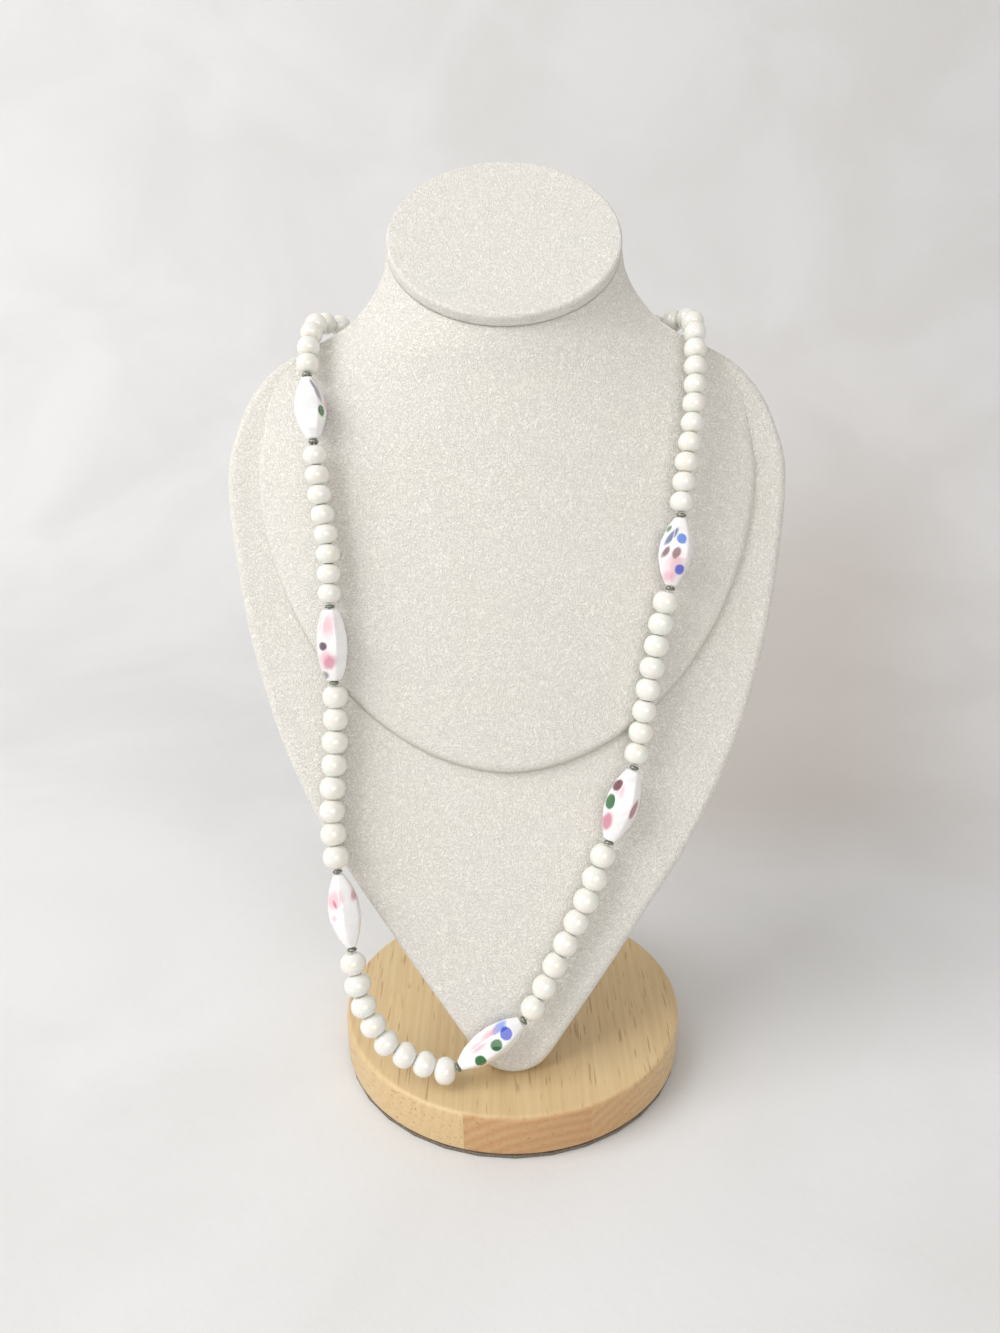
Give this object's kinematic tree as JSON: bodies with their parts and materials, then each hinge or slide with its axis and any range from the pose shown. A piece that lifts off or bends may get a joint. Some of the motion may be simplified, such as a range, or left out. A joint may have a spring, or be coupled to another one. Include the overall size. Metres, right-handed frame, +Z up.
{
  "type": "beaded necklace on neck bust",
  "caption": "Long strand of round pearly glass beads with painted long beads, on a fabric-covered neck bust that leans back on a round wooden base.",
  "frame": {"origin": "centre of the underside of the round base, where the stand rests on a table", "axes": "+Z up; the front of the bust faces -Y and +X is to the right of someone facing it"},
  "size_m": [0.1844, 0.1335, 0.3002],
  "materials": {
    "pad_foam": "matt closed-cell foam",
    "light_wood": "satin clear-coated light hardwood with fine brown grain",
    "cream_velvet": "short-pile cream velvet with a sandy nap",
    "pearl_glass": "opaque milk-white glass with a pearly lustre",
    "painted_glass": "opaque glossy white glass with small painted dabs",
    "spacer_metal": "dark grey-green metallic lustre",
    "clasp_metal": "plain silver-coloured"
  },
  "bodies": {
    "root": {"base_pad": "pad_foam", "wood_base": "light_wood", "support_post": "light_wood", "bust_board": "cream_velvet", "chest_and_neck": "cream_velvet", "neck_cap": "cream_velvet", "beads_back_left": "pearl_glass", "beads_upper_left": "pearl_glass", "beads_lower_left": "pearl_glass", "beads_bottom": "pearl_glass", "beads_lower_right": "pearl_glass", "beads_upper_right": "pearl_glass", "beads_back_right": "pearl_glass", "long_bead_1": "painted_glass", "long_bead_2": "painted_glass", "long_bead_3": "painted_glass", "long_bead_4": "painted_glass", "long_bead_5": "painted_glass", "long_bead_6": "painted_glass", "spacer_1a": "spacer_metal", "spacer_1b": "spacer_metal", "spacer_2a": "spacer_metal", "spacer_2b": "spacer_metal", "spacer_3a": "spacer_metal", "spacer_3b": "spacer_metal", "spacer_4a": "spacer_metal", "spacer_4b": "spacer_metal", "spacer_5a": "spacer_metal", "spacer_5b": "spacer_metal", "spacer_6a": "spacer_metal", "spacer_6b": "spacer_metal", "clasp": "clasp_metal"}
  },
  "joints": []
}
